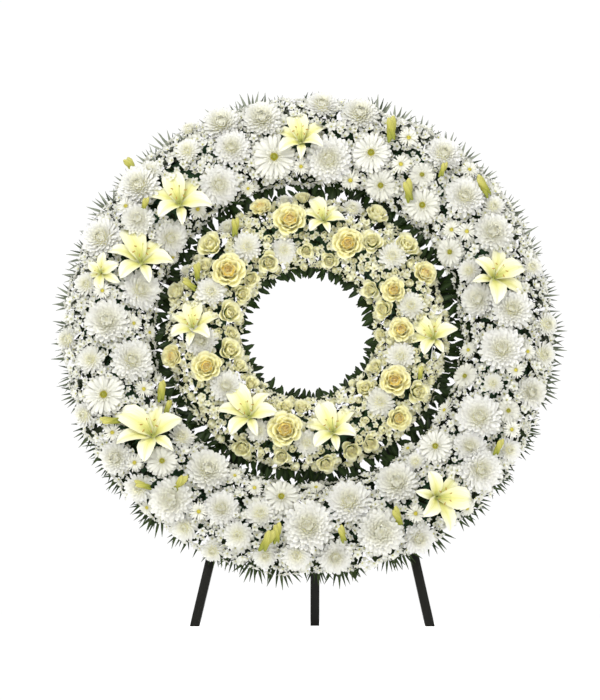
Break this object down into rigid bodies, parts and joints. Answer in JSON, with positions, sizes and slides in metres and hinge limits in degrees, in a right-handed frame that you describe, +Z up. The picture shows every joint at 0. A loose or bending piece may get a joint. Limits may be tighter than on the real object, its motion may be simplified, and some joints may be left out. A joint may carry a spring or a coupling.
{
  "type": "funeral wreath on a folding stand",
  "caption": "Two concentric rings of white and pale yellow blooms with dark leaves, leaning on a black steel stand with a hinged rear leg.",
  "frame": {"origin": "on the surface it stands on, at the middle of the bounding box seen from above", "axes": "+X to the right as the wreath is viewed, +Z up; the flowers face -Y and lean back 9 degrees"},
  "size_m": [1.1447, 0.4984, 1.2046],
  "materials": {
    "black_paint": "satin black paint on steel tube",
    "pin_steel": "plain turned steel",
    "green_plastic": "moulded dark green tray",
    "green_foam": "matt, fine-celled floral foam",
    "dark_leaf": "leaf, waxy, dark green with paler ribs",
    "white_petal": "petal, soft matt, white to cream, green at the heart",
    "yellow_petal": "petal, soft matt, pale yellow with orange hearts, and white"
  },
  "bodies": {
    "root": {"leg_left": "black_paint", "leg_right": "black_paint", "crossbar_upper": "black_paint", "crossbar_lower": "black_paint", "hinge_bracket": "black_paint", "hinge_pin": "pin_steel", "spoke_top": "black_paint", "spoke_left": "black_paint", "spoke_right": "black_paint", "outer_hoop": "black_paint", "inner_hoop": "black_paint", "outer_tray": "green_plastic", "inner_tray": "green_plastic", "outer_foam": "green_foam", "inner_foam": "green_foam", "outer_blooms_1": "white_petal", "outer_blooms_2": "white_petal", "outer_blooms_3": "white_petal", "outer_blooms_4": "white_petal", "outer_blooms_5": "white_petal", "outer_blooms_6": "white_petal", "outer_blooms_7": "white_petal", "outer_blooms_8": "white_petal", "inner_blooms_1": "yellow_petal", "inner_blooms_2": "yellow_petal", "inner_blooms_3": "yellow_petal", "inner_blooms_4": "yellow_petal", "outer_fringe_1": "dark_leaf", "outer_fringe_2": "dark_leaf", "outer_fringe_3": "dark_leaf", "outer_fringe_4": "dark_leaf", "outer_gap_leaves_1": "dark_leaf", "outer_gap_leaves_2": "dark_leaf", "outer_gap_leaves_3": "dark_leaf", "outer_gap_leaves_4": "dark_leaf", "inner_gap_leaves_1": "dark_leaf", "inner_gap_leaves_2": "dark_leaf", "inner_gap_leaves_3": "dark_leaf", "inner_gap_leaves_4": "dark_leaf", "hole_leaves_1": "dark_leaf", "hole_leaves_2": "dark_leaf", "hole_leaves_3": "dark_leaf", "hole_leaves_4": "dark_leaf", "hole_leaves_5": "dark_leaf", "hole_leaves_6": "dark_leaf", "hole_leaves_7": "dark_leaf", "hole_leaves_8": "dark_leaf"},
    "prop": {"rear_leg": "black_paint"}
  },
  "joints": [
    {"name": "prop_fold", "type": "hinge", "parent": "root", "child": "prop", "pos_m": [0.016, -0.04546, 0.43042], "axis": [-1, 0, 0], "range_deg": [0, 41.5]}
  ]
}
